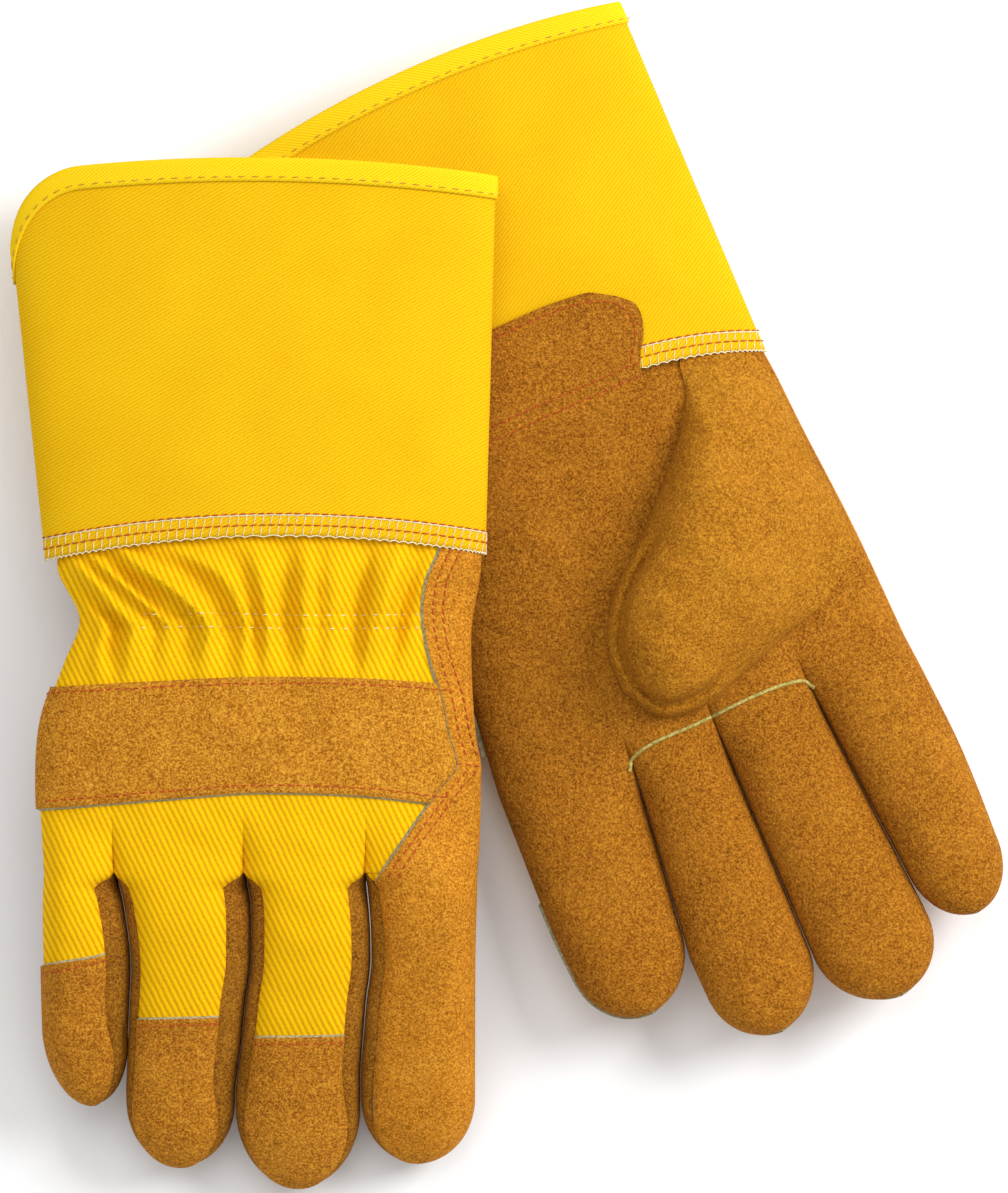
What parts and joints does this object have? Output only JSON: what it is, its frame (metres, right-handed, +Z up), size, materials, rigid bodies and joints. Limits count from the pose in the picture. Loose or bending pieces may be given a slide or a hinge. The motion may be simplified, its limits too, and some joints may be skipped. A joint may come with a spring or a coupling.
{
  "type": "pair of leather-palm work gloves",
  "caption": "Pair of work gloves with split-leather palms, yellow cotton backs and canvas gauntlet cuffs, lying crossed, palm up under back up.",
  "frame": {"origin": "on the surface that the pair lies on, under the middle of the pair's bounding box", "axes": "+Z up; -Y along the right glove's fingers and +Y up its cuff; +X towards the right glove's thumb side, where the left glove lies, turned 24.5 degrees"},
  "size_m": [0.2956, 0.36, 0.0524],
  "materials": {
    "split_leather": "napped",
    "cotton_drill": "woven",
    "rubberised_canvas": "smooth laminated twill",
    "binding_tape": "woven tape",
    "overlock_thread": "spun thread",
    "cotton_lining": "brushed",
    "elastic_tape": "matte"
  },
  "bodies": {
    "left_hand": {"left_cuff": "rubberised_canvas", "left_cuff_binding": "binding_tape", "left_cuff_overlock": "overlock_thread", "left_pulse_patch": "split_leather", "left_back_panel": "cotton_drill", "left_palm_panel": "split_leather", "left_hand_lining": "cotton_lining", "left_knuckle_strap": "split_leather", "left_side_strip": "split_leather", "left_wrist_elastic": "elastic_tape", "left_finger_welt": "split_leather", "left_thumb_welt": "split_leather"},
    "left_thumb": {"left_thumb_front": "split_leather", "left_thumb_back": "split_leather"},
    "left_little": {"left_little_front": "split_leather", "left_little_back": "cotton_drill", "left_little_tip": "split_leather"},
    "left_ring": {"left_ring_front": "split_leather", "left_ring_back": "cotton_drill", "left_ring_tip": "split_leather"},
    "left_middle": {"left_middle_front": "split_leather", "left_middle_back": "cotton_drill", "left_middle_tip": "split_leather"},
    "left_index": {"left_index_front": "split_leather", "left_index_back": "split_leather"},
    "right_hand": {"right_cuff": "rubberised_canvas", "right_cuff_binding": "binding_tape", "right_cuff_overlock": "overlock_thread", "right_pulse_patch": "split_leather", "right_back_panel": "cotton_drill", "right_palm_panel": "split_leather", "right_hand_lining": "cotton_lining", "right_knuckle_strap": "split_leather", "right_side_strip": "split_leather", "right_wrist_elastic": "elastic_tape", "right_finger_welt": "split_leather", "right_thumb_welt": "split_leather"},
    "right_thumb": {"right_thumb_front": "split_leather", "right_thumb_back": "split_leather"},
    "right_little": {"right_little_front": "split_leather", "right_little_back": "cotton_drill", "right_little_tip": "split_leather"},
    "right_ring": {"right_ring_front": "split_leather", "right_ring_back": "cotton_drill", "right_ring_tip": "split_leather"},
    "right_middle": {"right_middle_front": "split_leather", "right_middle_back": "cotton_drill", "right_middle_tip": "split_leather"},
    "right_index": {"right_index_front": "split_leather", "right_index_back": "split_leather"}
  },
  "joints": [
    {"name": "right_glove_lift", "type": "slide", "parent": "left_hand", "child": "right_hand", "axis": [0, 0, 1], "range_m": [0, 0.12]},
    {"name": "right_thumb_droop", "type": "hinge", "parent": "right_hand", "child": "right_thumb", "pos_m": [-0.02316, -0.02366, 0.0246], "axis": [0.338, -0.9411, 0], "range_deg": [0, 40]},
    {"name": "left_thumb_open", "type": "hinge", "parent": "left_hand", "child": "left_thumb", "pos_m": [0.07755, 0.03487, 0.0274], "axis": [-0.6979, 0.7162, 0], "range_deg": [0, 70]},
    {"name": "right_little_bend", "type": "hinge", "parent": "right_hand", "child": "right_little", "pos_m": [-0.12876, -0.09516, 0.05103], "axis": [-1, 0, 0], "range_deg": [0, 35]},
    {"name": "right_ring_bend", "type": "hinge", "parent": "right_hand", "child": "right_ring", "pos_m": [-0.09966, -0.09516, 0.05103], "axis": [-1, 0, 0], "range_deg": [0, 35]},
    {"name": "right_middle_bend", "type": "hinge", "parent": "right_hand", "child": "right_middle", "pos_m": [-0.06456, -0.09516, 0.05103], "axis": [-1, 0, 0], "range_deg": [0, 35]},
    {"name": "right_index_bend", "type": "hinge", "parent": "right_hand", "child": "right_index", "pos_m": [-0.02871, -0.09516, 0.05103], "axis": [-1, 0, 0], "range_deg": [0, 35]},
    {"name": "left_little_curl", "type": "hinge", "parent": "left_hand", "child": "left_little", "pos_m": [0.01984, -0.07, 0.02642], "axis": [-0.91, -0.4147, 0], "range_deg": [0, 70]},
    {"name": "left_ring_curl", "type": "hinge", "parent": "left_hand", "child": "left_ring", "pos_m": [0.0485, -0.05694, 0.02642], "axis": [-0.91, -0.4147, 0], "range_deg": [0, 70]},
    {"name": "left_middle_curl", "type": "hinge", "parent": "left_hand", "child": "left_middle", "pos_m": [0.07876, -0.04315, 0.02642], "axis": [-0.91, -0.4147, 0], "range_deg": [0, 70]},
    {"name": "left_index_curl", "type": "hinge", "parent": "left_hand", "child": "left_index", "pos_m": [0.10879, -0.02947, 0.02642], "axis": [-0.91, -0.4147, 0], "range_deg": [0, 70]}
  ],
  "couplings": [
    {"joint": "right_thumb_droop", "follows": "right_glove_lift", "rad_per_m": 5.8}
  ]
}
